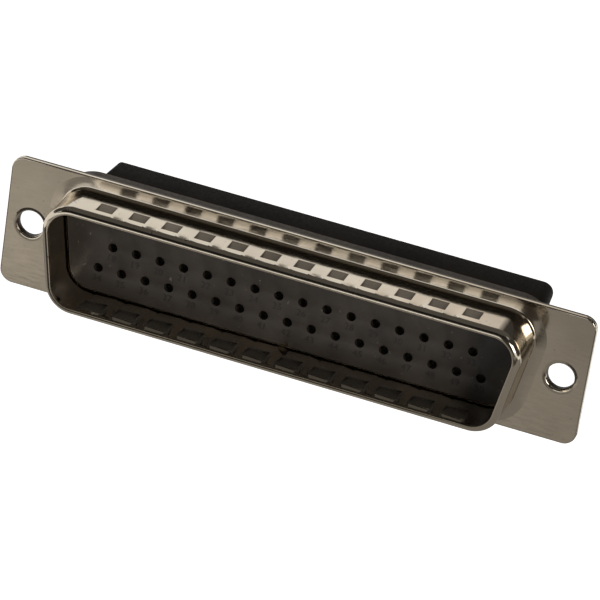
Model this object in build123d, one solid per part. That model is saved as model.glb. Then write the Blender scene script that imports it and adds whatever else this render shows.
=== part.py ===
from build123d import *
import math
import os

# Housing of a 50-way crimp plug connector with a D-shaped hood, without its contacts.
# Millimetres. X runs along the connector, Z points up the wide side of the D, and Y runs
# back from the mating face. The origin is the middle of the contact pattern, on the front
# face of the flange.

# Contact pattern, three staggered rows from the top
row_counts = (17, 16, 17)
contact_pitch = 2.77
row_pitch = 2.84

# Hood: its mouth is the opening inside the turned-in nose, set out from the outer contacts
mouth_beside = 3.74
mouth_above = 2.695
mouth_corner = 2.5
side_slant = 10
hood_depth = 5.94
nose_turn = 0.8
nose_radius = 0.7
dish_width = 1.3
dish_rise = 0.2
root_bevel = 0.15

# Dimples that grip the mating shell, pressed in along the top and the bottom of the hood
dimple_count = 12
dimple_inset = 1.33
dimple_width = 1.93
dimple_rear = 2.65
dimple_front = 4.65
dimple_bulge = 0.3
dimple_deep = 0.5
dimple_shallow = 0.15
dimple_margin = 0.2

# Mounting holes, set out from the mouth's mid width, each lined with a drawn collar
mount_setout = 4.655
mount_bore = 3.05
mount_entry = 0.2
collar_wall = 0.3
collar_gap = 0.02
clinch_width = 0.18
clinch_thickness = 0.2

# Flange, the same outline for the drawn front sheet and the flat backing sheet
flange_end = 2.91
flange_margin = 2.15
flange_corner = 1.5
flange_roll = 0.15
shell_sheet = 0.4
backing_sheet = 0.3

# Front insulator: the insert inside the hood and the wide body behind the flange
insert_gap = 0.2
insert_setback = 0.05
pin_hole = 1.05
pin_hole_sides = 8
notch_radius = 0.5
body_beside = 2.47
body_above = 1.215
body_corner = 4.5
body_rear = 3.6

# Rear insulator, set out from the outer contacts at its rear face
cap_beside = 3.46
cap_above = 3.18
cap_corner = 1.5
cap_rear = 8.7
cap_draft = 2
index_cut = 2.48
index_drop = 4.82
index_radius = 0.45
barrel_bore = 2.2
barrel_bore_sides = 10

# Retention clip: a sleeve rolled from strip with flat sides, open along one of them
clip_gap = 0.03
clip_strip = 0.12
clip_length = 2.6
clip_sides = 6
tine_width = 0.5
tine_root = 2.1
tine_weld = 0.3
tine_tip = 0.6
tine_reach = 0.26

# Sizes that follow
rows_width = contact_pitch * (max(row_counts) - 1)
rows_height = row_pitch * (len(row_counts) - 1)
mouth_mid_width = rows_width + 2 * mouth_beside
mouth_height = rows_height + 2 * mouth_above
mount_spacing = mouth_mid_width + 2 * mount_setout
flange_length = mount_spacing + 2 * flange_end
flange_height = mouth_height + 2 * flange_margin
sheets_rear = shell_sheet + backing_sheet
hood_inside = nose_turn - shell_sheet
side_slope = math.tan(math.radians(side_slant))


# Shared helpers


def across(depth):
    """Drawing plane across the connector, with X to the right and Z up."""
    return Plane.XZ.offset(-depth)


def prism(outline, front, rear):
    """Straight solid with this outline between two depths."""
    return extrude(across(rear) * outline, amount=rear - front)


def front_rim(solid):
    """Edges round the foremost face of a solid."""
    return solid.faces().sort_by(Axis.Y)[0].edges()


def d_outline(height, mid_width, corner):
    """D-shaped outline with its wide side up and its width given at mid height."""
    lean = height / 2 * side_slope
    wide = mid_width / 2 + lean
    narrow = mid_width / 2 - lean
    corners = (
        (wide, height / 2),
        (-wide, height / 2),
        (-narrow, -height / 2),
        (narrow, -height / 2),
    )
    sharp = Polygon(*corners, align=None)
    return fillet(sharp.vertices(), corner)


def mouth_outline(grow):
    """Outline of the hood's mouth, grown evenly all round."""
    side_grow = grow / math.cos(math.radians(side_slant))
    return d_outline(
        mouth_height + 2 * grow, mouth_mid_width + 2 * side_grow, mouth_corner + grow
    )


def flange_outline():
    return RectangleRounded(flange_length, flange_height, flange_corner)


def at_mounts(solid):
    """The same solid at both mounting holes."""
    return [Pos(side * mount_spacing / 2, 0, 0) * solid for side in (-1, 1)]


def contact_places():
    """Places of the contacts, row by row from the top and from left to right."""
    top_row = rows_height / 2
    places = []
    for row, count in enumerate(row_counts):
        first = -contact_pitch * (count - 1) / 2
        for column in range(count):
            places.append((first + column * contact_pitch, top_row - row * row_pitch))
    return places


def contact_bore(width, sides, front, rear):
    """Contact bore with flats, which keeps fifty of them light; its width is across the flats."""
    return prism(RegularPolygon(width / 2, sides, major_radius=False), front, rear)


def at_contacts(solid):
    """The same solid at every contact place."""
    return [Pos(x, 0, z) * solid for x, z in contact_places()]


# Front shell


def root_ring(depth, rise, width):
    """Ring round the root of the hood that falls away from the hood's wall to this depth."""
    ring = prism(mouth_outline(nose_turn + width), depth - rise, depth + backing_sheet / 2)
    front = ring.faces().sort_by(Axis.Y)[0]
    return chamfer(front.edges(), width, rise, reference=front)


def ramped_block(plan, sink, front, rear):
    """Block of this plan under the top wall, with a floor that falls towards the rear."""
    ceiling = mouth_height / 2 + nose_turn
    side = Polygon(
        (front, ceiling - sink - dimple_shallow),
        (rear, ceiling - sink - dimple_deep),
        (rear, ceiling + dimple_deep),
        (front, ceiling + dimple_deep),
        align=None,
    )
    ramp = extrude(Plane.YZ * side, amount=dimple_width, both=True)
    return ramp & extrude(plan, amount=2 * ceiling)


def dimple_pocket():
    """What the punch presses into the outer face for one dimple, straight at the rear."""
    half = dimple_width / 2
    shoulder = -dimple_front + dimple_bulge
    sides = Polyline((-half, shoulder), (-half, -dimple_rear), (half, -dimple_rear), (half, shoulder))
    front_edge = ThreePointArc((half, shoulder), (0, -dimple_front), (-half, shoulder))
    return ramped_block(make_face(sides + front_edge), 0, -dimple_front, -dimple_rear)


def dimple_bump():
    """What one dimple raises on the inner face, a margin wider than its pocket."""
    front = -dimple_front - dimple_margin
    rear = -dimple_rear + dimple_margin
    plan = Pos(0, (front + rear) / 2) * Rectangle(dimple_width + 2 * dimple_margin, rear - front)
    return ramped_block(plan, shell_sheet, front, rear)


def at_dimples(solid):
    """The top dimple's solid along the top wall and, upside down, along the bottom wall."""
    first = -rows_width / 2 + dimple_inset
    pitch = -2 * first / (dimple_count - 1)
    copies = []
    for column in range(dimple_count):
        top = Pos(first + column * pitch, 0, 0) * solid
        copies += [top, mirror(top, about=Plane.XY)]
    return copies


def make_front_shell():
    """Flange and hood drawn from one steel sheet."""
    flange = prism(flange_outline(), 0, shell_sheet)
    flange = chamfer(front_rim(flange), flange_roll)
    hood = prism(mouth_outline(nose_turn), -hood_depth, 0)
    hood = fillet(front_rim(hood), nose_radius)
    dish = root_ring(0, dish_rise, dish_width)
    bevel = root_ring(0, dish_rise + root_bevel, dish_rise + root_bevel)
    outside = flange + dish + bevel + hood

    cavity = prism(mouth_outline(hood_inside), shell_sheet - hood_depth, shell_sheet)
    cavity = chamfer(front_rim(cavity), nose_radius - shell_sheet)
    mouth = prism(mouth_outline(0), -hood_depth, 0)
    dish_back = root_ring(shell_sheet, dish_rise, dish_width)
    shell = outside - cavity - mouth - dish_back

    inner_wall = prism(mouth_outline(hood_inside + shell_sheet / 2), -hood_depth, 0)
    shell += [bump & inner_wall for bump in at_dimples(dimple_bump())]
    shell -= at_dimples(dimple_pocket())

    collar = prism(Circle(mount_bore / 2 + collar_wall), 0, sheets_rear)
    clinch_radius = mount_bore / 2 + collar_wall + clinch_width
    clinch = prism(Circle(clinch_radius), sheets_rear, sheets_rear + clinch_thickness)
    bore = prism(Circle(mount_bore / 2), 0, sheets_rear + clinch_thickness)
    shell += at_mounts(collar + clinch)
    shell -= at_mounts(bore)
    entries = shell.edges().filter_by(GeomType.CIRCLE).filter_by_position(Axis.Y, -0.01, 0.01)
    entries = entries.filter_by(lambda edge: abs(edge.radius - mount_bore / 2) < 0.01)
    return chamfer(entries, mount_entry)


# Rear shell


def make_rear_shell():
    """Flat backing sheet, held by the collars of the front shell."""
    sheet = prism(flange_outline(), shell_sheet, sheets_rear)
    window = prism(mouth_outline(hood_inside), shell_sheet, sheets_rear)
    collar_hole = prism(Circle(mount_bore / 2 + collar_wall + collar_gap), shell_sheet, sheets_rear)
    return sheet - window - at_mounts(collar_hole)


# Front insulator


def make_front_insulator():
    """Insert inside the hood, moulded in one with the wide body behind the flange."""
    insert_outline = mouth_outline(hood_inside - insert_gap)
    insert = prism(insert_outline, insert_setback, sheets_rear)
    insert_floor = -insert_outline.bounding_box().size.Y / 2
    notch = prism(Circle(notch_radius), insert_setback, sheets_rear)
    body_outline = d_outline(mouth_height + 2 * body_above, mouth_mid_width + 2 * body_beside, body_corner)
    body = prism(body_outline, sheets_rear, body_rear)
    pin = contact_bore(pin_hole, pin_hole_sides, insert_setback, body_rear)
    return insert - Pos(0, 0, insert_floor) * notch + body - at_contacts(pin)


# Rear insulator


def cap_outline():
    """D outline of the rear insulator with its corner beside contact 1 cut back."""
    half_width = rows_width / 2 + cap_beside
    half_height = rows_height / 2 + cap_above
    lean = half_height * side_slope
    index_corner = (-half_width - lean + index_cut, half_height)
    index_foot = (-half_width - lean + index_drop * side_slope, half_height - index_drop)
    corners = (
        (half_width + lean, half_height),
        index_corner,
        index_foot,
        (-half_width + lean, -half_height),
        (half_width - lean, -half_height),
    )
    sharp = Polygon(*corners, align=None)
    outline = fillet(sharp.vertices().sort_by_distance(index_corner)[1:], cap_corner)
    return fillet(outline.vertices().sort_by_distance(index_corner)[0], index_radius)


def make_rear_insulator():
    """Black block that holds the clips and takes the crimped barrels of the contacts."""
    block = extrude(across(cap_rear) * cap_outline(), amount=cap_rear - body_rear, taper=-cap_draft)
    bore = contact_bore(barrel_bore, barrel_bore_sides, body_rear, cap_rear)
    return block - at_contacts(bore)


# Retention clips


def clip_section():
    """Section of the rolled strip, open along its lowest side."""
    side_angle = 360 / clip_sides
    outer_radius = barrel_bore / 2 - clip_gap
    inner_radius = outer_radius - clip_strip / math.cos(math.radians(side_angle / 2))
    angles = [side_angle / 2 - 90 + side_angle * corner for corner in range(clip_sides)]
    outer = [Vector(outer_radius, 0).rotate(Axis.Z, angle) for angle in angles]
    inner = [Vector(inner_radius, 0).rotate(Axis.Z, angle) for angle in reversed(angles)]
    return Polygon(*outer, *inner, align=None)


def clip_tine():
    """Tongue that leans in and forward from the inside of one flat, to stand behind a shoulder."""
    flat_radius = (barrel_bore / 2 - clip_gap) * math.cos(math.pi / clip_sides) - clip_strip
    root = body_rear + tine_root
    tip = body_rear + tine_tip
    tongue = Polygon(
        (flat_radius, root),
        (flat_radius, root - tine_weld),
        (flat_radius - tine_reach, tip),
        align=None,
    )
    return extrude(tongue, amount=tine_width / 2, both=True)


def make_clip():
    """Spring sleeve with two tines on opposite flats."""
    sleeve = prism(clip_section(), body_rear, body_rear + clip_length)
    flat_angle = 180 / clip_sides
    tines = [Rot(0, -turn, 0) * clip_tine() for turn in (flat_angle, flat_angle + 180)]
    return sleeve + tines


# The assembly

pieces = {
    "front_shell": make_front_shell(),
    "rear_shell": make_rear_shell(),
    "front_insulator": make_front_insulator(),
    "rear_insulator": make_rear_insulator(),
}
for number, clip in enumerate(at_contacts(make_clip()), start=1):
    pieces[f"retention_clip_{number:02d}"] = clip

os.makedirs("parts", exist_ok=True)
for name, piece in pieces.items():
    export_step(piece, f"parts/{name}.step")
    print(name, round(piece.volume, 2))
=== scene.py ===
# %% [markdown]
# # Crimp plug housing with a D-shaped hood
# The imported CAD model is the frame: each piece made here stands in a CAD node's place, and the
# nodes that stay only get a finish. Lengths are in millimetres, as on a maker's drawing, and
# become metres where Blender takes them.

# %% Load the frame
import math

import bmesh
import bpy
from mathutils import Matrix, Vector


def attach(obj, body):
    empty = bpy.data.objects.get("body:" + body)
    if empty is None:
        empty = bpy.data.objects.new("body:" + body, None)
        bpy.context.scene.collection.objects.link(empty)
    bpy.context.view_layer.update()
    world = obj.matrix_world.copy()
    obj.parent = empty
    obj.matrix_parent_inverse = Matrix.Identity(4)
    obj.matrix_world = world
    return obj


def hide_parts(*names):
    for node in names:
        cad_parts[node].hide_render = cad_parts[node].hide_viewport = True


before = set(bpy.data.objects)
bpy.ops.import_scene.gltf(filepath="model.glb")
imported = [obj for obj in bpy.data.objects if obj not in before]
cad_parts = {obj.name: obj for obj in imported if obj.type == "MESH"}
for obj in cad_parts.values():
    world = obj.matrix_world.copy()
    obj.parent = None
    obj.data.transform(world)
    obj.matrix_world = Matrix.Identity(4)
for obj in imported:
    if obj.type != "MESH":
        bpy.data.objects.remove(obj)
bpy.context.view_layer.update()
MM = 0.001
print("nodes loaded:", len(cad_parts))

# %% [markdown]
# ## Working in edit mode from code
# By hand you click faces before you pull them. In a script the click is a test: each part of the
# mesh is asked where it lies or which way it looks, and only those that answer yes are selected.
# Everything is deselected first, because an operator acts on all that is selected.

# %% Selecting by place


def only(obj):
    """Make this the one selected and active object."""
    bpy.ops.object.select_all(action="DESELECT")
    obj.select_set(True)
    bpy.context.view_layer.objects.active = obj


def edit(obj):
    """Open this object in edit mode."""
    only(obj)
    bpy.ops.object.mode_set(mode="EDIT")


def leave():
    """Go back to object mode."""
    bpy.ops.object.mode_set(mode="OBJECT")


def middle(part):
    """Middle of a vertex, an edge or a face, in millimetres."""
    if isinstance(part, bmesh.types.BMVert):
        return part.co / MM
    points = [corner.co for corner in part.verts]
    return sum(points, Vector()) / len(points) / MM


def pick(kind, test):
    """Select only the parts of the edited mesh that pass the test."""
    bpy.ops.mesh.select_mode(type=kind)
    bpy.ops.mesh.select_all(action="DESELECT")
    mesh = bmesh.from_edit_mesh(bpy.context.edit_object.data)
    parts = {"VERT": mesh.verts, "EDGE": mesh.edges, "FACE": mesh.faces}[kind]
    chosen = [part for part in parts if test(part)]
    for part in chosen:
        part.select_set(True)
    mesh.select_flush_mode()
    bmesh.update_edit_mesh(bpy.context.edit_object.data)
    return len(chosen)


def move(x=0, y=0, z=0):
    """Move the selected parts by this much."""
    bpy.ops.transform.translate(value=(x * MM, y * MM, z * MM))


def pull(x=0, y=0, z=0):
    """Extrude the selected faces or edges by this much."""
    shift = {"value": (x * MM, y * MM, z * MM)}
    mesh = bmesh.from_edit_mesh(bpy.context.edit_object.data)
    if any(face.select for face in mesh.faces):
        bpy.ops.mesh.extrude_region_move(TRANSFORM_OT_translate=shift)
    else:
        bpy.ops.mesh.extrude_edges_move(TRANSFORM_OT_translate=shift)


SAME_PLACE = 0.005
HAIR = 0.01


def near(a, b):
    """True where two values in millimetres are meant to be the same."""
    return abs(a - b) < SAME_PLACE


print("two places count as one within", SAME_PLACE, "mm")

# %% [markdown]
# ## D-shaped outlines
# The hood, the insert and the wide body share one outline: a D whose sides lean in towards the
# bottom. Its corners have to be true arcs, because bright metal shows every flat. So a circle is
# the start: it is cut into four arcs by angle, and the arcs are pulled apart to the corners.
# Growing the outline only needs a larger circle, since the arc centres stay where they are.

# %% Outline tool
MOUTH_HALF_HEIGHT = 5.535
MOUTH_HALF_WIDTH = 25.9
MOUTH_CORNER = 2.5
SLANT = math.radians(10)
OUTLINE_STEPS = 72


def d_centres(half_height, half_width, corner):
    """Arc centres of a D outline, right top and right bottom."""
    z = half_height - corner
    x = half_width - corner / math.cos(SLANT)
    return (x + z * math.tan(SLANT), z), (x - z * math.tan(SLANT), -z)


def add_outline(name, radius, top, bottom, depth, steps=OUTLINE_STEPS, fill="NGON", slant=SLANT):
    """A circle facing the front, cut into four arcs that are pulled apart."""
    half_step = math.pi / steps
    bpy.ops.mesh.primitive_circle_add(
        vertices=steps,
        radius=radius * MM / math.cos(half_step),
        fill_type=fill,
        location=(0, depth * MM, 0),
        rotation=(math.pi / 2, half_step, 0),
    )
    piece = bpy.context.object
    piece.name = name
    only(piece)
    bpy.ops.object.transform_apply(location=True, rotation=True, scale=True)
    edit(piece)
    for right, high, (x, z) in ((1, 1, top), (0, 1, top), (1, 0, bottom), (0, 0, bottom)):
        side = 1 if right else -1

        def in_quarter(vertex):
            angle = math.atan2(vertex.co.z, side * vertex.co.x)
            return angle > -slant if high else -math.pi / 2 < angle < -slant

        def here(vertex):
            return side * vertex.co.x > 0 and in_quarter(vertex) and not vertex.tag

        pick("VERT", here)
        mesh = bmesh.from_edit_mesh(piece.data)
        for vertex in mesh.verts:
            vertex.tag = vertex.tag or vertex.select
        move(side * x, 0, z)
    leave()
    return piece


def mouth_outline(name, grow, depth, **how):
    """The outline of the hood's mouth, grown by this much on all sides."""
    top, bottom = d_centres(MOUTH_HALF_HEIGHT, MOUTH_HALF_WIDTH, MOUTH_CORNER)
    return add_outline(name, MOUTH_CORNER + grow, top, bottom, depth, **how)


print("arc centres:", d_centres(MOUTH_HALF_HEIGHT, MOUTH_HALF_WIDTH, MOUTH_CORNER))

# %% [markdown]
# ## The drawn steel shell: hood
# On the real part one sheet of plated steel is pressed into flange and hood together. Here only
# its outer skin is modelled, and the sheet's thickness comes last. The D at the foot of the hood
# is inset in rings that rise more and more, for the hollow of the dished ring. The last face is
# extruded into the wall, and its front rim is bevelled round into the turned-in nose. The face that
# is left is deleted: that is the mouth.

# %% Hood skin
NOSE_TURN = 0.8
NOSE_STEPS = 9
DISH_WIDTH = 1.3
DISH_SLOPES = (5, 6.5, 8.5, 10.5, 12.5)
HOOD_DEPTH = 5.94


def is_mouth(face):
    """True for the many-cornered face that closes the front of the hood."""
    return len(face.verts) > OUTLINE_STEPS / 2 and near(middle(face).y, -HOOD_DEPTH)


shell = mouth_outline("drawn_shell", NOSE_TURN + DISH_WIDTH, 0)
edit(shell)
pick("FACE", lambda face: True)
ring_width = DISH_WIDTH / len(DISH_SLOPES)
ring_rises = [ring_width * math.tan(math.radians(slope)) for slope in DISH_SLOPES]
for rise in ring_rises:
    bpy.ops.mesh.inset(thickness=ring_width * MM, depth=rise * MM, use_even_offset=True)
DISH_RISE = sum(ring_rises)
pull(y=DISH_RISE - HOOD_DEPTH)
pick("EDGE", lambda edge: near(middle(edge).y, -HOOD_DEPTH))
bpy.ops.mesh.bevel(offset=NOSE_TURN * MM, segments=NOSE_STEPS, affect="EDGES")
pick("FACE", is_mouth)
bpy.ops.mesh.delete(type="FACE")
leave()
print("hood skin:", len(shell.data.polygons), "faces, dish", round(DISH_RISE, 3), "mm high")

# %% [markdown]
# ## Dimples along the hood
# Twelve small ramps are punched into the top wall, and twelve below: they grip the shell of the
# mating connector. Cuts are made across the wall at the sides of each dimple, the faces between
# them are extruded inwards by next to nothing, and the front edge of each floor is pushed deeper.
# Between the dimples the wall sags a little where the nose starts, which scallops the highlight.

# %% Dimples
DIMPLE_COUNT = 12
DIMPLE_ROW = 41.66
DIMPLE_PITCH = DIMPLE_ROW / (DIMPLE_COUNT - 1)
DIMPLE_HALF = 0.965
DIMPLE_REAR = -2.65
DIMPLE_FRONT = -4.5
DIMPLE_FRONT_DEPTH = 0.45
DIMPLE_REAR_DEPTH = 0.05
SCALLOP_HALF = 1.45
SCALLOP_SAG = 0.18
HOOD_TOP = MOUTH_HALF_HEIGHT + NOSE_TURN
WALL_REAR = -0.6
TOP_BAND = 0.1
LEVEL = 0.99
NO_LEAN = 0.01


def cut(place, normal):
    """Cut the selected faces along a plane and keep both sides."""
    bpy.ops.mesh.bisect(plane_co=[value * MM for value in place], plane_no=normal)


def dimple_centre(number):
    """Where the middle of a dimple lies along the hood."""
    return (number - (DIMPLE_COUNT - 1) / 2) * DIMPLE_PITCH


def dimple_offset(x):
    """Distance from the middle of the nearest dimple."""
    slots = x / DIMPLE_PITCH + (DIMPLE_COUNT - 1) / 2
    nearest = min(max(round(slots), 0), DIMPLE_COUNT - 1)
    return x - dimple_centre(nearest)


def is_wall(face):
    """True for the level walls of the hood, above and below."""
    return abs(face.normal.z) > LEVEL and middle(face).y < WALL_REAR


def runs_straight(face):
    """True for what runs straight along the hood and leans to neither end."""
    return abs(face.normal.x) < NO_LEAN


edit(shell)
for y in (DIMPLE_REAR, DIMPLE_FRONT):
    pick("FACE", is_wall)
    cut((0, y, 0), (0, 1, 0))
for number in range(DIMPLE_COUNT):
    for offset in (-SCALLOP_HALF, -DIMPLE_HALF, DIMPLE_HALF, SCALLOP_HALF):
        pick("FACE", runs_straight)
        cut((dimple_centre(number) + offset, 0, 0), (1, 0, 0))
for way in (1, -1):
    def on_floor(face):
        place = middle(face)
        inside = DIMPLE_FRONT < place.y < DIMPLE_REAR and abs(dimple_offset(place.x)) < DIMPLE_HALF
        return inside and is_wall(face) and face.normal.z * way > 0

    pick("FACE", on_floor)
    pull(z=-way * DIMPLE_REAR_DEPTH)
    floor_height = HOOD_TOP - DIMPLE_REAR_DEPTH

    def on_front_edge(vertex):
        place = middle(vertex)
        return near(place.z * way, floor_height) and near(place.y, DIMPLE_FRONT)

    print("front edges of the floors:", pick("VERT", on_front_edge))
    move(z=-way * (DIMPLE_FRONT_DEPTH - DIMPLE_REAR_DEPTH))

    def between_dimples(vertex):
        place = middle(vertex)
        at_nose = near(place.y, NOSE_TURN - HOOD_DEPTH) and place.z * way > HOOD_TOP - TOP_BAND
        in_row = abs(place.x) < DIMPLE_ROW / 2
        return at_nose and in_row and abs(dimple_offset(place.x)) > SCALLOP_HALF - HAIR

    print("sagging points:", pick("VERT", between_dimples))
    move(z=-way * SCALLOP_SAG)
leave()
print("hood with dimples:", len(shell.data.polygons), "faces")

# %% [markdown]
# ## Flange
# The flange is the flat part of the same sheet. Its outline and the two holes are drawn as bare
# edges, joined to the hood, and the area between them is filled, so the sheet stays in one piece.
# Each hole is then drawn through into a collar, which holds the two sheets of the real shell
# together: its edge is extruded in small steps that turn from the face into the bore.

# %% Flange and collars
FLANGE_HALF_LENGTH = 33.465
FLANGE_HALF_HEIGHT = 7.685
FLANGE_CORNER = 1.5
MOUNT_X = 30.555
MOUNT_RADIUS = 1.525
MOUNT_DISH = 2.0
COLLAR_REAR = 0.9
COLLAR_PROFILE = ((1.82, 0.012), (1.7, 0.04), (1.62, 0.09), (1.57, 0.16), (1.54, 0.25), (1.525, 0.36))
RING_STEPS = 48
RING_MARGIN = 0.1
WELD = 0.002
IN_PLANE = 0.9999

corner_x = FLANGE_HALF_LENGTH - FLANGE_CORNER
corner_z = FLANGE_HALF_HEIGHT - FLANGE_CORNER
corner_centres = ((corner_x, corner_z), (corner_x, -corner_z))
rim = add_outline("flange_rim", FLANGE_CORNER, *corner_centres, 0, RING_STEPS, "NOTHING", slant=0)
loops = [rim]
for side in (-1, 1):
    bpy.ops.mesh.primitive_circle_add(
        vertices=RING_STEPS,
        radius=MOUNT_DISH * MM,
        location=(side * MOUNT_X * MM, 0, 0),
        rotation=(math.pi / 2, 0, 0),
    )
    loops.append(bpy.context.object)
only(shell)
for loop in loops:
    loop.select_set(True)
bpy.ops.object.join()
edit(shell)
pick("EDGE", lambda edge: near(middle(edge).y, 0) and len(edge.link_faces) < 2)
bpy.ops.mesh.fill(use_beauty=True)
leave()
print("flange filled:", len(shell.data.polygons), "faces")


def in_hole(part, reach):
    """True for what lies within reach of the middle of a mounting hole."""
    place = middle(part)
    return math.hypot(abs(place.x) - MOUNT_X, place.z) < reach


edit(shell)
pick("FACE", lambda face: near(middle(face).y, 0) and in_hole(face, MOUNT_DISH / 2))
bpy.ops.mesh.delete(type="FACE")
for side in (-1, 1):
    def on_ring(edge):
        place = middle(edge)
        return near(place.y, 0) and place.x * side > 0 and in_hole(edge, MOUNT_DISH + RING_MARGIN)

    print("edges round the hole:", pick("EDGE", on_ring))
    radius, depth = MOUNT_DISH, 0.0
    for new_radius, new_depth in COLLAR_PROFILE + ((MOUNT_RADIUS, COLLAR_REAR),):
        pull(y=new_depth - depth)
        bpy.ops.transform.resize(
            value=(new_radius / radius, 1, new_radius / radius),
            center_override=(side * MOUNT_X * MM, 0, 0),
        )
        radius, depth = new_radius, new_depth
bpy.ops.mesh.select_all(action="SELECT")
bpy.ops.mesh.remove_doubles(threshold=WELD * MM)
bpy.ops.mesh.normals_make_consistent(inside=False)
faces = bmesh.from_edit_mesh(shell.data).faces
flat = next(face for face in faces if near(middle(face).y, 0) and abs(face.normal.y) > IN_PLANE)
if flat.normal.y > 0:
    bpy.ops.mesh.flip_normals()
leave()
print("shell skin:", len(shell.data.polygons), "faces")

# %% [markdown]
# ## Thickness and rolled edges
# Solidify gives the skin the thickness of the sheet, towards the back and the inside. The root of
# the hood is round, as a drawn corner is. Sheared and punched edges are never sharp, and a small
# bevel lets them catch a thin line of light. The front rim of the flange is rolled over more than
# the rest, and shows as a thin pale line.

# %% Sheet thickness
SHEET = 0.4
ROOT_RADIUS = 0.2
FLANGE_ROLL = 0.14
EDGE_ROLL = 0.07
RIM_BAND = 0.08
HOLE_SURROUND = 0.6
ROLL_ANGLE = math.radians(40)
SMOOTH_ANGLE = math.radians(35)
SHARP_TURN = 1.0  # radians


def apply(obj, name, kind, **values):
    """Add a modifier, set it and apply it."""
    only(obj)
    bpy.ops.object.modifier_add(type=kind)
    modifier = obj.modifiers[-1]
    modifier.name = name
    for key, value in values.items():
        setattr(modifier, key, value)
    bpy.ops.object.modifier_apply(modifier=name)


def roll_edges(obj, width):
    """Bevel the sharp edges of an object and shade the rest smooth."""
    apply(obj, "edges", "BEVEL", width=width * MM, segments=2, limit_method="ANGLE", angle_limit=ROLL_ANGLE)
    only(obj)
    bpy.ops.object.shade_smooth_by_angle(angle=SMOOTH_ANGLE)


def is_root(edge):
    """True for the corner between the dished ring and the wall of the hood."""
    return near(middle(edge).y, -DISH_RISE) and edge.calc_face_angle(0) > SHARP_TURN


def on_front_rim(edge):
    """True for the outer edge of the flange's front, which passes close by the holes."""
    place = middle(edge)
    turned = near(place.y, 0) and edge.calc_face_angle(0) > SHARP_TURN
    outside = abs(place.z) > FLANGE_HALF_HEIGHT - RIM_BAND or abs(place.x) > corner_x
    return turned and outside and not in_hole(edge, MOUNT_DISH + HOLE_SURROUND)


def leaves_flat(edge):
    """True for an edge between the flat of the flange and anything that turns away from it."""
    ends = [abs(face.normal.y) > IN_PLANE for face in edge.link_faces]
    return len(ends) == 2 and ends[0] != ends[1]


apply(shell, "sheet", "SOLIDIFY", thickness=SHEET * MM, offset=-1, use_even_offset=True)
edit(shell)
pick("EDGE", is_root)
bpy.ops.mesh.bevel(offset=ROOT_RADIUS * MM, segments=5, affect="EDGES")
print("rim of the flange:", pick("EDGE", on_front_rim))
bpy.ops.mesh.bevel(offset=FLANGE_ROLL * MM, segments=4, affect="EDGES")
leave()
roll_edges(shell, EDGE_ROLL)
edit(shell)
print("edges of the flats:", pick("EDGE", leaves_flat))
bpy.ops.mesh.mark_sharp()
leave()
apply(shell, "weights", "WEIGHTED_NORMAL", keep_sharp=True)
print("drawn shell:", len(shell.data.polygons), "faces")
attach(shell, "root")
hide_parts("front_shell")

# %% [markdown]
# ## Front insulator: contact places
# The grey moulding holds fifty contacts in three staggered rows. Its insert and its wide body are
# both plates with holes. One ring of edges is made for the first hole and copied to the other
# places, the area between outline and rings is filled, and the fill is extruded to the plate's
# thickness. That keeps the plates in one piece and every hole round.

# %% Contact places
ROW_PITCH = 2.84
ROWS = ((17, ROW_PITCH), (16, 0.0), (17, -ROW_PITCH))
PITCH = 2.77
PLACES = [((column - (count - 1) / 2) * PITCH, z) for count, z in ROWS for column in range(count)]
print("contacts:", len(PLACES))


def holes(radius, depth, steps):
    """A ring of edges at every contact place."""
    bpy.ops.mesh.primitive_circle_add(
        vertices=steps,
        radius=radius * MM,
        location=(0, depth * MM, 0),
        rotation=(math.pi / 2, 0, 0),
    )
    first = bpy.context.object
    only(first)
    bpy.ops.object.transform_apply(location=True, rotation=True, scale=True)
    rings = []
    for x, z in PLACES:
        ring = first.copy()
        ring.data = first.data.copy()
        bpy.context.collection.objects.link(ring)
        ring.location = (x * MM, 0, z * MM)
        rings.append(ring)
    bpy.data.objects.remove(first)
    return rings


def plate(outline, rings, front, rear):
    """Fill between an outline and its rings, and extrude the fill backwards."""
    only(outline)
    for ring in rings:
        ring.select_set(True)
    bpy.ops.object.join()
    edit(outline)
    bpy.ops.mesh.select_all(action="SELECT")
    bpy.ops.mesh.fill(use_beauty=True)
    pull(y=rear - front)
    bpy.ops.mesh.select_all(action="SELECT")
    bpy.ops.mesh.normals_make_consistent(inside=False)
    leave()
    return outline


# %% [markdown]
# ## Front insulator: insert and wide body
# The insert fills the foot of the hood, with a fine hole for each contact pin, and the wide body
# stands behind the flange, with wider cavities. Three plates on each other are joined into the one
# moulding. A half-round notch marks the middle of the insert's lower edge: a circle is set on that
# edge, and its lower half is deleted together with the stretch of edge between its ends.

# %% Insert and wide body
INSERT_GROW = 0.2
INSERT_FRONT = 0.05
INSERT_ROLL = 0.06
SHEETS_REAR = 0.7
BODY_REAR = 3.6
BODY_HALF_HEIGHT = 6.75
BODY_HALF_WIDTH = 28.37
BODY_CORNER = 4.5
PIN_RADIUS = 0.525
LAND_REAR = 0.4
CAVITY_RADIUS = 0.95
HOLE_STEPS = 20
NOTCH_RADIUS = 0.5
NOTCH_Z = -MOUTH_HALF_HEIGHT - INSERT_GROW
NOTCH_STEPS = 24


def below_notch(vertex):
    """True for the half of the notch circle that lies outside the insert."""
    place = middle(vertex)
    return abs(place.x) < 2 * NOTCH_RADIUS and place.z < NOTCH_Z - HAIR


def is_lower_side(edge):
    """True for the one long edge along the bottom of the outline."""
    return middle(edge).z < 0 and edge.calc_length() > MOUTH_HALF_WIDTH * MM


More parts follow.
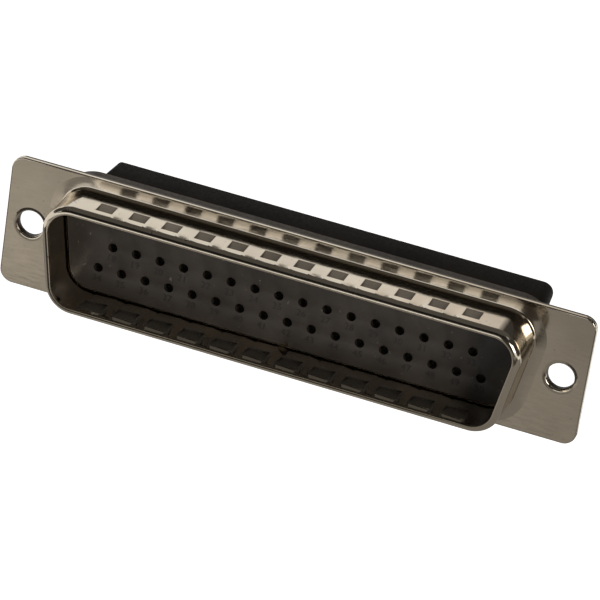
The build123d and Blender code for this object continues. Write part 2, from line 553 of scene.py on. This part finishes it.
insert = mouth_outline("grey_insulator", INSERT_GROW, INSERT_FRONT, fill="NOTHING")
bpy.ops.mesh.primitive_circle_add(
    vertices=NOTCH_STEPS,
    radius=NOTCH_RADIUS * MM,
    location=(0, INSERT_FRONT * MM, NOTCH_Z * MM),
    rotation=(math.pi / 2, 0, 0),
)
notch = bpy.context.object
only(insert)
notch.select_set(True)
bpy.ops.object.join()
edit(insert)
pick("VERT", below_notch)
bpy.ops.mesh.delete(type="VERT")
pick("EDGE", is_lower_side)
bpy.ops.mesh.delete(type="EDGE")
for side in (-1, 1):
    def is_loose_end(vertex):
        return len(vertex.link_edges) == 1 and vertex.co.x * side > 0

    print("notch ends:", pick("VERT", is_loose_end))
    bpy.ops.mesh.edge_face_add()
leave()
plate(insert, holes(PIN_RADIUS, INSERT_FRONT, HOLE_STEPS), INSERT_FRONT, LAND_REAR)
core = mouth_outline("core", INSERT_GROW, LAND_REAR, fill="NOTHING")
plate(core, holes(CAVITY_RADIUS, LAND_REAR, HOLE_STEPS), LAND_REAR, SHEETS_REAR)
body_centres = d_centres(BODY_HALF_HEIGHT, BODY_HALF_WIDTH, BODY_CORNER)
body = add_outline("body", BODY_CORNER, *body_centres, SHEETS_REAR, fill="NOTHING")
plate(body, holes(CAVITY_RADIUS, SHEETS_REAR, HOLE_STEPS), SHEETS_REAR, BODY_REAR)
only(insert)
core.select_set(True)
body.select_set(True)
bpy.ops.object.join()
roll_edges(insert, INSERT_ROLL)
print("grey insulator:", len(insert.data.polygons), "faces")
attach(insert, "root")
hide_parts("front_insulator")

# %% [markdown]
# ## Moulded numbers
# Each contact hole has its number beside it, raised by a hair on the insert: above the top row and
# below the others. A number is a line of text, extruded, made a mesh, and only then set in place.
# The numbers are darker than the insert: painted shade for their relief.

# %% Numbers
NUMBER_SIZE = 1.15
NUMBER_RISE = 0.02
NUMBER_ABOVE = 1.55
NUMBER_BELOW = -1.3

digits = []
for number, (x, z) in enumerate(PLACES, 1):
    shift = NUMBER_ABOVE if z > 0 else NUMBER_BELOW
    bpy.ops.object.text_add(rotation=(math.pi / 2, 0, 0))
    label = bpy.context.object
    label.data.body = str(number)
    label.data.size = NUMBER_SIZE * MM
    label.data.align_x = "CENTER"
    label.data.align_y = "CENTER"
    label.data.extrude = NUMBER_RISE * MM
    label.data.resolution_u = 2
    only(label)
    bpy.ops.object.convert(target="MESH")
    label.location = (x * MM, INSERT_FRONT * MM, (z + shift) * MM)
    bpy.ops.object.transform_apply(location=True, rotation=True, scale=True)
    digits.append(label)
numbers = digits[0]
only(numbers)
for label in digits:
    label.select_set(True)
bpy.ops.object.join()
numbers.name = "moulded_numbers"
print("numbers:", len(numbers.data.polygons), "faces")
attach(numbers, "root")

# %% [markdown]
# ## Rear insulator
# The black block behind the body holds the clips. Its outline starts as a five-sided circle, whose
# corners are moved to those of a D with one of them cut back beside contact 1. The corners are
# rounded by bevelling their vertices. The block is extruded forwards and grows a little on the
# way, because it has to leave its mould.

# %% Black block
CAP_REAR = 8.7
CAP_HALF_HEIGHT = 6.02
CAP_HALF_WIDTH = 25.62
CAP_CORNER = 1.5
INDEX_CUT = 2.48
INDEX_DROP = 4.82
INDEX_RADIUS = 0.45
BORE_RADIUS = 1.1
BORE_STEPS = 24
BLOCK_ROLL = 0.08
DRAFT = math.radians(2)
DRAFT_GROWTH = (CAP_REAR - BODY_REAR) * math.tan(DRAFT)

lean = CAP_HALF_HEIGHT * math.tan(SLANT)
CAP_CORNERS = (
    (CAP_HALF_WIDTH + lean, CAP_HALF_HEIGHT),
    (-CAP_HALF_WIDTH - lean + INDEX_CUT, CAP_HALF_HEIGHT),
    (-CAP_HALF_WIDTH - lean + INDEX_DROP * math.tan(SLANT), CAP_HALF_HEIGHT - INDEX_DROP),
    (-CAP_HALF_WIDTH + lean, -CAP_HALF_HEIGHT),
    (CAP_HALF_WIDTH - lean, -CAP_HALF_HEIGHT),
)
bpy.ops.mesh.primitive_circle_add(
    vertices=len(CAP_CORNERS),
    radius=CAP_CORNER * MM,
    location=(0, CAP_REAR * MM, 0),
    rotation=(math.pi / 2, 0, 0),
)
block = bpy.context.object
block.name = "black_insulator"
only(block)
bpy.ops.object.transform_apply(location=True, rotation=True, scale=True)
mesh = bmesh.new()
mesh.from_mesh(block.data)
turned = sorted(mesh.verts, key=lambda vertex: math.atan2(vertex.co.z, vertex.co.x))
corners = sorted(CAP_CORNERS, key=lambda corner: math.atan2(corner[1], corner[0]))
order = [vertex.index for vertex in turned]
mesh.free()
edit(block)
for index, (x, z) in zip(order, corners):
    pick("VERT", lambda vertex: vertex.index == index)
    vertex = bmesh.from_edit_mesh(block.data).verts[:][index]
    move(x - vertex.co.x / MM, 0, z - vertex.co.z / MM)
for chosen, radius in ((False, CAP_CORNER), (True, INDEX_RADIUS)):
    def is_corner(vertex):
        place = middle(vertex)
        at_index = near(place.x, CAP_CORNERS[1][0]) and near(place.z, CAP_CORNERS[1][1])
        known = any(near(place.x, x) and near(place.z, z) for x, z in CAP_CORNERS)
        return known and at_index == chosen

    print("corners rounded:", pick("VERT", is_corner))
    bpy.ops.mesh.bevel(offset=radius * MM, segments=8, affect="VERTICES")
leave()
plate(block, holes(BORE_RADIUS, CAP_REAR, BORE_STEPS), CAP_REAR, BODY_REAR)
edit(block)


def on_front_outline(vertex):
    """True for the outline of the block where it meets the body, away from the bores."""
    place = middle(vertex)
    gaps = [math.hypot(place.x - x, place.z - z) - BORE_RADIUS for x, z in PLACES]
    return near(place.y, BODY_REAR) and min(gaps) > RING_MARGIN


pick("VERT", on_front_outline)
bpy.ops.transform.resize(
    value=(1 + DRAFT_GROWTH / CAP_HALF_WIDTH, 1, 1 + DRAFT_GROWTH / CAP_HALF_HEIGHT),
    center_override=(0, 0, 0),
)
leave()
roll_edges(block, BLOCK_ROLL)
print("black insulator:", len(block.data.polygons), "faces")
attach(block, "root")
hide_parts("rear_insulator")

# %% [markdown]
# ## Finishes
# Rolled and plated steel has a fine lengthwise grain, and moulded plastic an even one. A finish
# here is a small network: a large noise shifts the colour between two tones, and a fine one varies
# the roughness and lifts the surface a hair. It is drawn out along the piece where the sheet was
# rolled. Small specks get a tint of their own. What is the same all over stays on the shader.

# %% Finish tool
PATCH_RANGE = (0.35, 0.65)
PATCH_DETAIL = 4
GRAIN_RANGE = (0.3, 0.7)
GRAIN_DETAIL = 3
SPECK_EDGE = 0.04
SPECK_DETAIL = 2
RELIEF = 0.02
RIM_DEPTH = 0.03


def new_material(name):
    """A new material and its node tree."""
    material = bpy.data.materials.new(name)
    material.use_nodes = True
    return material, material.node_tree


def noise(tree, vector, scale, detail):
    """A noise from 0 to 1, read at these coordinates."""
    node = tree.nodes.new("ShaderNodeTexNoise")
    node.inputs["Scale"].default_value = scale
    node.inputs["Detail"].default_value = detail
    tree.links.new(vector, node.inputs["Vector"])
    return node.outputs["Fac"]


def spread(tree, value, source, target=(0, 1)):
    """Stretch a value from one range to another."""
    node = tree.nodes.new("ShaderNodeMapRange")
    for socket, limit in zip(("From Min", "From Max", "To Min", "To Max"), (*source, *target)):
        node.inputs[socket].default_value = limit
    tree.links.new(value, node.inputs["Value"])
    return node.outputs["Result"]


def tint_over(tree, share, colour, tint):
    """Lay a plain tint over a colour by this share."""
    mix = tree.nodes.new("ShaderNodeMix")
    mix.data_type = "RGBA"
    tree.links.new(share, mix.inputs["Factor"])
    tree.links.new(colour, mix.inputs["A"])
    mix.inputs["B"].default_value = (*tint, 1)
    return mix.outputs["Result"]


def calculate(tree, operation, first, second=None):
    """One step of arithmetic on a value, with another value or a number."""
    node = tree.nodes.new("ShaderNodeMath")
    node.operation = operation
    tree.links.new(first, node.inputs[0])
    if isinstance(second, (int, float)):
        node.inputs[1].default_value = second
    elif second is not None:
        tree.links.new(second, node.inputs[1])
    return node.outputs["Value"]


def finish(name, dark, light, metallic, rough, grain, bump, patch=120, stretch=1, specks=None, **sockets):
    """A material whose colour runs between two tones and whose roughness between two values."""
    material, tree = new_material(name)
    shader = tree.nodes["Principled BSDF"]
    shader.inputs["Metallic"].default_value = metallic
    for socket, value in sockets.items():
        shader.inputs[socket.replace("_", " ")].default_value = value
    place = tree.nodes.new("ShaderNodeTexCoord").outputs["Object"]
    tones = tree.nodes.new("ShaderNodeValToRGB")
    for stop, position, tone in zip(tones.color_ramp.elements, PATCH_RANGE, (dark, light)):
        stop.position = position
        stop.color = (*tone, 1)
    tree.links.new(noise(tree, place, patch, PATCH_DETAIL), tones.inputs["Fac"])
    colour = tones.outputs["Color"]
    if specks:
        tint, speck_scale, threshold = specks
        dust = noise(tree, place, speck_scale, SPECK_DETAIL)
        share = spread(tree, dust, (threshold, threshold + SPECK_EDGE))
        colour = tint_over(tree, share, colour, tint)
    tree.links.new(colour, shader.inputs["Base Color"])
    run = tree.nodes.new("ShaderNodeMapping")
    run.inputs["Scale"].default_value = (1 / stretch, 1, 1)
    tree.links.new(place, run.inputs["Vector"])
    fine = noise(tree, run.outputs["Vector"], grain, GRAIN_DETAIL)
    tree.links.new(spread(tree, fine, GRAIN_RANGE, rough), shader.inputs["Roughness"])
    relief = tree.nodes.new("ShaderNodeBump")
    relief.inputs["Strength"].default_value = bump
    relief.inputs["Distance"].default_value = RELIEF * MM
    tree.links.new(fine, relief.inputs["Height"])
    tree.links.new(relief.outputs["Normal"], shader.inputs["Normal"])
    return material


def darken_rim(material, dark):
    """Darken the sheet along its long sides, at the top and bottom edges."""
    tree = material.node_tree
    base = tree.nodes["Principled BSDF"].inputs["Base Color"]
    axes = tree.nodes.new("ShaderNodeSeparateXYZ")
    tree.links.new(tree.nodes.new("ShaderNodeTexCoord").outputs["Object"], axes.inputs["Vector"])
    height = calculate(tree, "ABSOLUTE", axes.outputs["Z"])
    at_rim = calculate(tree, "GREATER_THAN", height, (FLANGE_HALF_HEIGHT - RIM_DEPTH) * MM)
    tree.links.new(tint_over(tree, at_rim, base.links[0].from_socket, dark), base)


print("finish tool ready")

# %% [markdown]
# ## Metals and plastics of this part
# The drawn shell is bright and warm, and the sheet behind it duller and darker along its top and
# bottom edges. The bores, the dimples and the dimples' bumps inside the hood get darker steel:
# painted shade in these hollows. The front insulator is a warm grey, darker and a little shinier on
# the insert, and the rear one is nearly black; the walls of the pin holes get that near-black finish
# as painted shade, and the numbers a darker tone as painted shade. The clips are of spring brass.

# %% Finishes
STEEL_DARK = (0.565, 0.493, 0.39)
STEEL_LIGHT = (0.645, 0.568, 0.452)
RIM_DARK_TONE = (0.08, 0.072, 0.06)

steel = finish(
    "drawn_steel", STEEL_DARK, STEEL_LIGHT,
    metallic=1, rough=(0.08, 0.15), grain=3200, bump=0.16, stretch=6,
    specks=((0.30, 0.26, 0.20), 2600, 0.70),
)
backing = finish(
    "backing_steel", STEEL_DARK, STEEL_LIGHT,
    metallic=1, rough=(0.25, 0.4), grain=2500, bump=0.3,
)
darken_rim(backing, RIM_DARK_TONE)
# Near-black steel on the walls of the mounting bores: painted shade in the holes.
bore_shade = finish(
    "bore_painted_shade", (0.06, 0.054, 0.046), (0.10, 0.09, 0.075),
    metallic=1, rough=(0.45, 0.6), grain=4000, bump=0.8,
)
# Darker, duller steel on the dimples: painted shade in their hollows.
punched = finish(
    "dimple_painted_shade", (0.12, 0.104, 0.082), (0.19, 0.166, 0.134),
    metallic=0.3, rough=(0.3, 0.45), grain=3000, bump=0.6, Specular_IOR_Level=0.3,
)
# Darker steel still on the dimples' bumps inside the hood: painted shade.
bump_painted_shade = finish(
    "bump_painted_shade", (0.045, 0.04, 0.033), (0.075, 0.067, 0.056),
    metallic=0.5, rough=(0.4, 0.55), grain=3000, bump=0.6, Specular_IOR_Level=0.2,
)
grey = finish(
    "grey_insulator", (0.040, 0.032, 0.0245), (0.051, 0.041, 0.032),
    metallic=0, rough=(0.5, 0.65), grain=3000, bump=0.5, Specular_IOR_Level=0.12,
)
insert_face = finish(
    "insert_face", (0.025, 0.0205, 0.0165), (0.039, 0.033, 0.027),
    metallic=0, rough=(0.42, 0.55), grain=2200, bump=0.35, patch=220,
    specks=((0.10, 0.09, 0.08), 1500, 0.70), Specular_IOR_Level=0.5,
)
# A darker tone for the numbers: painted shade of their relief.
number_shade = finish(
    "number_painted_shade", (0.012, 0.0105, 0.009), (0.018, 0.016, 0.014),
    metallic=0, rough=(0.5, 0.6), grain=3000, bump=0.3,
)
black = finish(
    "black_insulator", (0.008, 0.0066, 0.0054), (0.0115, 0.0096, 0.0078),
    metallic=0, rough=(0.6, 0.75), grain=3000, bump=0.4, Specular_IOR_Level=0.04,
)
brass = finish(
    "clip_metal", (0.6, 0.42, 0.22), (0.68, 0.5, 0.28),
    metallic=1, rough=(0.2, 0.3), grain=2500, bump=0.2,
)
print("finishes:", len(bpy.data.materials))

# %% [markdown]
# ## Which faces get which finish
# A piece has one main finish, and some of its faces get another one. They are picked by their
# place, as they were for modelling. A node that stays from the CAD model keeps its shape and only
# gets a finish.

# %% Dressing
BUMP_DEPTH = 1.3
FACES_FRONT = 0.5


def dress(obj, *materials):
    """Give an object its finishes, the first of which is on all its faces."""
    obj.data.materials.clear()
    for material in materials:
        obj.data.materials.append(material)


def paint_faces(obj, material, test):
    """Put another of the object's finishes on the faces that pass the test."""
    edit(obj)
    count = pick("FACE", test)
    obj.active_material_index = obj.data.materials.find(material.name)
    bpy.ops.object.material_slot_assign()
    leave()
    print(material.name, "on", count, "faces")


def on_bore(face):
    """True for the wall of a mounting hole, behind the curve of its collar."""
    return in_hole(face, MOUNT_RADIUS + HAIR) and middle(face).y > COLLAR_PROFILE[-2][1]


def beside_dimple(face, margin):
    """True for what lies over or under a dimple, or within this margin of it."""
    place = middle(face)
    along = DIMPLE_FRONT - margin < place.y < DIMPLE_REAR + margin
    return along and abs(dimple_offset(place.x)) < DIMPLE_HALF + margin


def on_dimple(face):
    """True for the punched faces on the outside of the hood."""
    depth = HOOD_TOP - abs(middle(face).z)
    return 2 * HAIR < depth < SHEET - HAIR and beside_dimple(face, 2 * HAIR)


def on_bump(face):
    """True for the backs of the dimples, inside the hood."""
    depth = HOOD_TOP - abs(middle(face).z)
    return SHEET + 2 * HAIR < depth < BUMP_DEPTH and beside_dimple(face, SHEET + 2 * HAIR)


def on_insert(face):
    """True for the front of the insert, its rim and the walls of its holes."""
    return middle(face).y < LAND_REAR - HAIR


def in_pin_hole(face):
    """True for the wall of a pin hole, which gets the near-black finish as painted shade."""
    place = middle(face)
    gaps = [math.hypot(place.x - x, place.z - z) - PIN_RADIUS for x, z in PLACES]
    sideways = abs(face.normal.y) <= FACES_FRONT
    return sideways and place.y <= LAND_REAR and min(gaps) < 2 * HAIR


dress(shell, steel, bore_shade, punched, bump_painted_shade)
# The bores, the bumps inside the hood and the dimples get darker steel: painted shade.
paint_faces(shell, bore_shade, on_bore)
paint_faces(shell, bump_painted_shade, on_bump)
paint_faces(shell, punched, on_dimple)
dress(insert, grey, insert_face, black)
paint_faces(insert, insert_face, on_insert)
# The walls of the pin holes get the near-black finish: painted shade in the holes.
paint_faces(insert, black, in_pin_hole)
dress(numbers, number_shade)
dress(block, black)
for name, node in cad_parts.items():
    if name.startswith("retention_clip"):
        dress(node, brass)
    elif name == "rear_shell":
        dress(node, backing)

# %% [markdown]
# ## Studio
# The part was photographed on white, and plated steel mirrors what is round it, so each light or
# dark band on the metal is a card. One lies on the floor in front, brighter towards the left, for
# the flange. A low bright band in front gives the strip above the hood its light, and dim cards
# above that band make the dark of the nose. A small bright card at the right is the white spot on
# the corner of the hood. Cards show in reflections only. The floor is white and takes the shadow.

# %% Floor and cards
STAGE_GLOW = 0.8
STAGE_PAINT = (0.8, 0.8, 0.8, 1)


def seen_directly(tree):
    """1 for rays from the camera, a mirror or clear material, and 0 for the rest."""
    rays = tree.nodes.new("ShaderNodeLightPath").outputs
    seen = calculate(tree, "MAXIMUM", rays["Is Camera Ray"], rays["Is Glossy Ray"])
    return calculate(tree, "MAXIMUM", seen, rays["Is Transmission Ray"])


def white_stage(name, strength):
    """Diffuse white that shines for camera, glossy and transmission rays."""
    material, tree = new_material(name)
    tree.nodes.clear()
    power = calculate(tree, "MULTIPLY", seen_directly(tree), strength)
    glow = tree.nodes.new("ShaderNodeEmission")
    tree.links.new(power, glow.inputs["Strength"])
    paint = tree.nodes.new("ShaderNodeBsdfDiffuse")
    paint.inputs["Color"].default_value = STAGE_PAINT
    both = tree.nodes.new("ShaderNodeAddShader")
    tree.links.new(glow.outputs["Emission"], both.inputs[0])
    tree.links.new(paint.outputs["BSDF"], both.inputs[1])
    out = tree.nodes.new("ShaderNodeOutputMaterial")
    tree.links.new(both.outputs["Shader"], out.inputs["Surface"])
    return material


def card_paint(name, colour, strength, fall=None):
    """A card that shows an even tone in reflections, or one that falls off along a direction."""
    material, tree = new_material(name)
    tree.nodes.clear()
    glow = tree.nodes.new("ShaderNodeEmission")
    glow.inputs["Color"].default_value = (*colour, 1)
    glow.inputs["Strength"].default_value = strength
    if fall:
        direction, (low, low_tone), (high, high_tone) = fall
        place = tree.nodes.new("ShaderNodeTexCoord")
        along = tree.nodes.new("ShaderNodeVectorMath")
        along.operation = "DOT_PRODUCT"
        along.inputs[1].default_value = direction
        tree.links.new(place.outputs["Object"], along.inputs[0])
        tone = spread(tree, along.outputs["Value"], (low * MM, high * MM), (low_tone, high_tone))
        tree.links.new(tone, glow.inputs["Strength"])
    out = tree.nodes.new("ShaderNodeOutputMaterial")
    tree.links.new(glow.outputs["Emission"], out.inputs["Surface"])
    return material


def card(name, width, height, place, towards, material):
    """A flat card at this place that faces a point."""
    bpy.ops.mesh.primitive_plane_add(size=1)
    piece = bpy.context.object
    piece.name = name
    facing = (Vector(towards) - Vector(place)).to_track_quat("Z", "Y").to_matrix().to_4x4()
    scale = Matrix.Diagonal((width * MM, height * MM, 1, 1))
    piece.matrix_world = Matrix.Translation(Vector(place) * MM) @ facing @ scale
    only(piece)
    bpy.ops.object.transform_apply(location=True, rotation=True, scale=True)
    dress(piece, material)
    return piece


FLOOR_Z = -120
FLOOR_SIZE = 6000
CARD_DISTANCE = 500
CREAM = (1, 0.97, 0.93)
WARM = (1, 0.96, 0.92)
COOL = (0.97, 0.98, 1)
ROSE = (1, 0.97, 0.97)
# A fall is a direction, then a distance along it and the tone there, twice
FLOOR_FALL = ((-0.591, 0.806, 0), (-263, 0.06), (-69.5, 0.6))
EDGE_FALL = ((1, 0, 0), (-100, 1.0), (60, 0.05))
BAND_FALL = ((0, 0, 1), (25, 1.5), (150, 0.45))


def hung_card(name, azimuths, elevations, tone, colour=WARM, fall=None):
    """A card that fills this part of the sky, azimuth from straight behind towards the right."""
    azimuth = math.radians(sum(azimuths) / 2)
    elevation = math.radians(sum(elevations) / 2)
    half_wide = math.radians(azimuths[1] - azimuths[0]) / 2
    half_high = math.radians(elevations[1] - elevations[0]) / 2
    level = CARD_DISTANCE * math.cos(elevation)
    width = 2 * level * math.tan(half_wide)
    height = 2 * CARD_DISTANCE * math.tan(half_high)
    place = (level * math.sin(azimuth), level * math.cos(azimuth), CARD_DISTANCE * math.sin(elevation))
    return card(name, width, height, place, (0, 0, 0), card_paint(name, colour, tone, fall))


def floor_card(name, left, right, front, rear, lift, tone, fall=None):
    """A card that lies on the floor between these sides."""
    place = ((left + right) / 2, (front + rear) / 2, FLOOR_Z + lift)
    towards = (place[0], place[1], 0)
    return card(name, right - left, rear - front, place, towards, card_paint(name, CREAM, tone, fall))


card("floor", FLOOR_SIZE, FLOOR_SIZE, (0, 0, FLOOR_Z), (0, 0, 0), white_stage("white_sweep", STAGE_GLOW))

cards = [
    card("card_above", 620, 370, (0, 125, 330), (0, 125, 0), card_paint("card_above", CREAM, 0.1)),
    floor_card("card_floor", -700, 700, -335, -185, 2, 1, FLOOR_FALL),
    floor_card("card_ground", -800, 800, -1037, -330, 3, 0.25),
    floor_card("card_below", -300, -8, -186, -55, 3, 0.04),
    floor_card("card_side", -8, 600, -186, 200, 3, 0.25),
    floor_card("card_near", -300, -8, -55, 200, 3, 0.3),
    hung_card("card_back_high", (-60, 60), (38, 72), 0.15),
    hung_card("card_right", (8, 120), (-4, 60), 0.05),
    hung_card("card_right_edge", (-12, 8), (-4, 60), 1, fall=EDGE_FALL),
    hung_card("card_right_light", (124, 144), (3, 24), 6, ROSE),
    hung_card("card_right_high", (120, 147), (27, 60), 0.03),
    hung_card("card_front_low", (125, 235), (17, 32), 0.03),
    hung_card("card_front_mid", (125, 235), (32, 56), 0.014),
    hung_card("card_front_high", (125, 235), (56, 80), 0.1),
    hung_card("card_low_right", (147, 176), (-14, 17), 0.04),
    hung_card("card_low_middle", (176, 200), (-14, 2), 0.25),
    hung_card("card_low_left", (200, 230), (-9, 2), 0.7, COOL),
    hung_card("card_front_band", (180, 230), (2, 17), 1, COOL, BAND_FALL),
    hung_card("card_left", (-125, -60), (14, 60), 0.06),
]
for piece in cards:
    piece.visible_camera = False
    piece.visible_shadow = False
    piece.visible_diffuse = False
print("cards:", len(cards))

# %% [markdown]
# ## World
# The sky round the studio is white where the camera or a mirror sees it, as the sweep is. As a
# light it is much weaker, so that it only fills the shadows and the lamps shape the plastics.

# %% World
WORLD_FILL = 0.26
WORLD_SEEN = 1.0

world = bpy.data.worlds.new("studio")
bpy.context.scene.world = world
world.use_nodes = True
tree = world.node_tree
background = tree.nodes["Background"]
background.inputs["Color"].default_value = (1, 1, 1, 1)
strength = spread(tree, seen_directly(tree), (0, 1), (WORLD_FILL, WORLD_SEEN))
tree.links.new(strength, background.inputs["Strength"])
print("world: fill", WORLD_FILL, "seen", WORLD_SEEN)

# %% [markdown]
# ## Lamps
# Dull plastic hardly mirrors the cards, so two soft boxes light it. The key at the right front
# lights the insert, and the right wall of the hood shades its right end. A small fill above left
# reaches the floors of the dimples. Neither shows in reflections.

# %% Lamps
LAMP_TINT = (1, 0.95, 0.89)


def soft_box(name, place, size, watts):
    """A square lamp at this place that faces the part and is seen by nothing."""
    bpy.ops.object.light_add(type="AREA", location=[value * MM for value in place])
    lamp = bpy.context.object
    lamp.name = name
    lamp.data.shape = "SQUARE"
    lamp.data.size = size * MM
    lamp.data.energy = watts
    lamp.data.color = LAMP_TINT
    lamp.rotation_euler = (-Vector(place)).to_track_quat("-Z", "Y").to_euler()
    lamp.visible_glossy = False
    lamp.visible_camera = False


soft_box("key", (500, -450, 181), 300, 4.4)
soft_box("fill", (-90, -50, 110), 60, 0.09)
print("lamps ready")

# %% [markdown]
# ## Camera
# The camera was worked out from the photograph: contact and mounting holes have known places, so
# their pixels fix where the camera stood, how it was turned and how long its lens was.

# %% Camera
CAMERA_PLACE = (99.752, -363.151, 195.986)
LOOK = Vector((-0.23271, 0.85613, -0.46141)).normalized()
UP = Vector((-0.26980, 0.39898, 0.87637))
FOCAL_PIXELS = 3939.4
FRAME_PIXELS = 600
SENSOR = 36

right = LOOK.cross(UP).normalized()
upward = right.cross(LOOK).normalized()
turn = Matrix((right, upward, -LOOK)).transposed()
bpy.ops.object.camera_add(location=[value * MM for value in CAMERA_PLACE], rotation=turn.to_euler())
camera = bpy.context.object
camera.name = "camera"
camera.data.sensor_fit = "HORIZONTAL"
camera.data.sensor_width = SENSOR
camera.data.lens = FOCAL_PIXELS / FRAME_PIXELS * SENSOR
camera.data.clip_start = 0.01
camera.data.clip_end = 50
bpy.context.scene.camera = camera
bpy.context.scene.view_settings.view_transform = "Standard"
print("lens:", round(camera.data.lens, 2))
